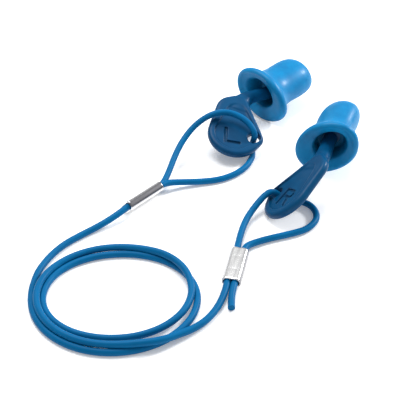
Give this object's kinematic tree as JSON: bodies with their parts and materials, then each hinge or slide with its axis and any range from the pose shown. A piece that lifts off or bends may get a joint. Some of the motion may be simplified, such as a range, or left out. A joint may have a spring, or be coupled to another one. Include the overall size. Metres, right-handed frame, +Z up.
{
  "type": "corded foam ear plugs",
  "caption": "Two flanged oval foam ear plugs, each on the pin of a drop-shaped grip stem, joined by a thin coiled cord looped through the grips' eyelets.",
  "frame": {"origin": "on the ground, under the middle of the box of the two plugs (stems, pods and cores, without the cord and its ferrules)", "axes": "+Z up from the ground; +Y towards the tips of the plugs' pods, away from the coil of cord; +X to the right as seen from the coil's side"},
  "size_m": [0.0929, 0.1281, 0.0197],
  "materials": {
    "stem": "satin moulded rubbery plastic, dark blue",
    "foam": "smooth-skinned soft foam, cyan blue",
    "core": "matte moulded",
    "cord": "smooth satin extruded cord",
    "ferrule": "bright nickel plate"
  },
  "bodies": {
    "cord": {"cord_crimp_left": "cord", "cord_crimp_right": "cord", "cord_loop_left": "cord", "cord_loop_right": "cord", "cord_tail_right": "cord", "cord_lead_left": "cord", "cord_lead_right": "cord", "cord_coil": "cord", "ferrule_left": "ferrule", "ferrule_right": "ferrule"},
    "stem_left": {"stem_left": "stem"},
    "stem_right": {"stem_right": "stem"},
    "pod_left": {"foam_pod_left": "foam", "pod_core_left": "core"},
    "pod_right": {"foam_pod_right": "foam", "pod_core_right": "core"}
  },
  "joints": [
    {"name": "swing_left", "type": "hinge", "parent": "cord", "child": "stem_left", "pos_m": [-0.00894, 0.00085, 0.00483], "axis": [0.1698, -0.3165, 0.9333], "range_deg": [-10, 6]},
    {"name": "pod_pull_left", "type": "slide", "parent": "stem_left", "child": "pod_left", "axis": [0.6951, 0.7187, 0.0164], "range_m": [0, 0.008]},
    {"name": "swing_right", "type": "hinge", "parent": "cord", "child": "stem_right", "pos_m": [-0.00294, -0.02565, 0.00317], "axis": [-0.6432, 0.0951, 0.7597], "range_deg": [-35, 8]},
    {"name": "pod_pull_right", "type": "slide", "parent": "stem_right", "child": "pod_right", "axis": [0.3343, 0.9416, 0.0413], "range_m": [0, 0.008]}
  ]
}
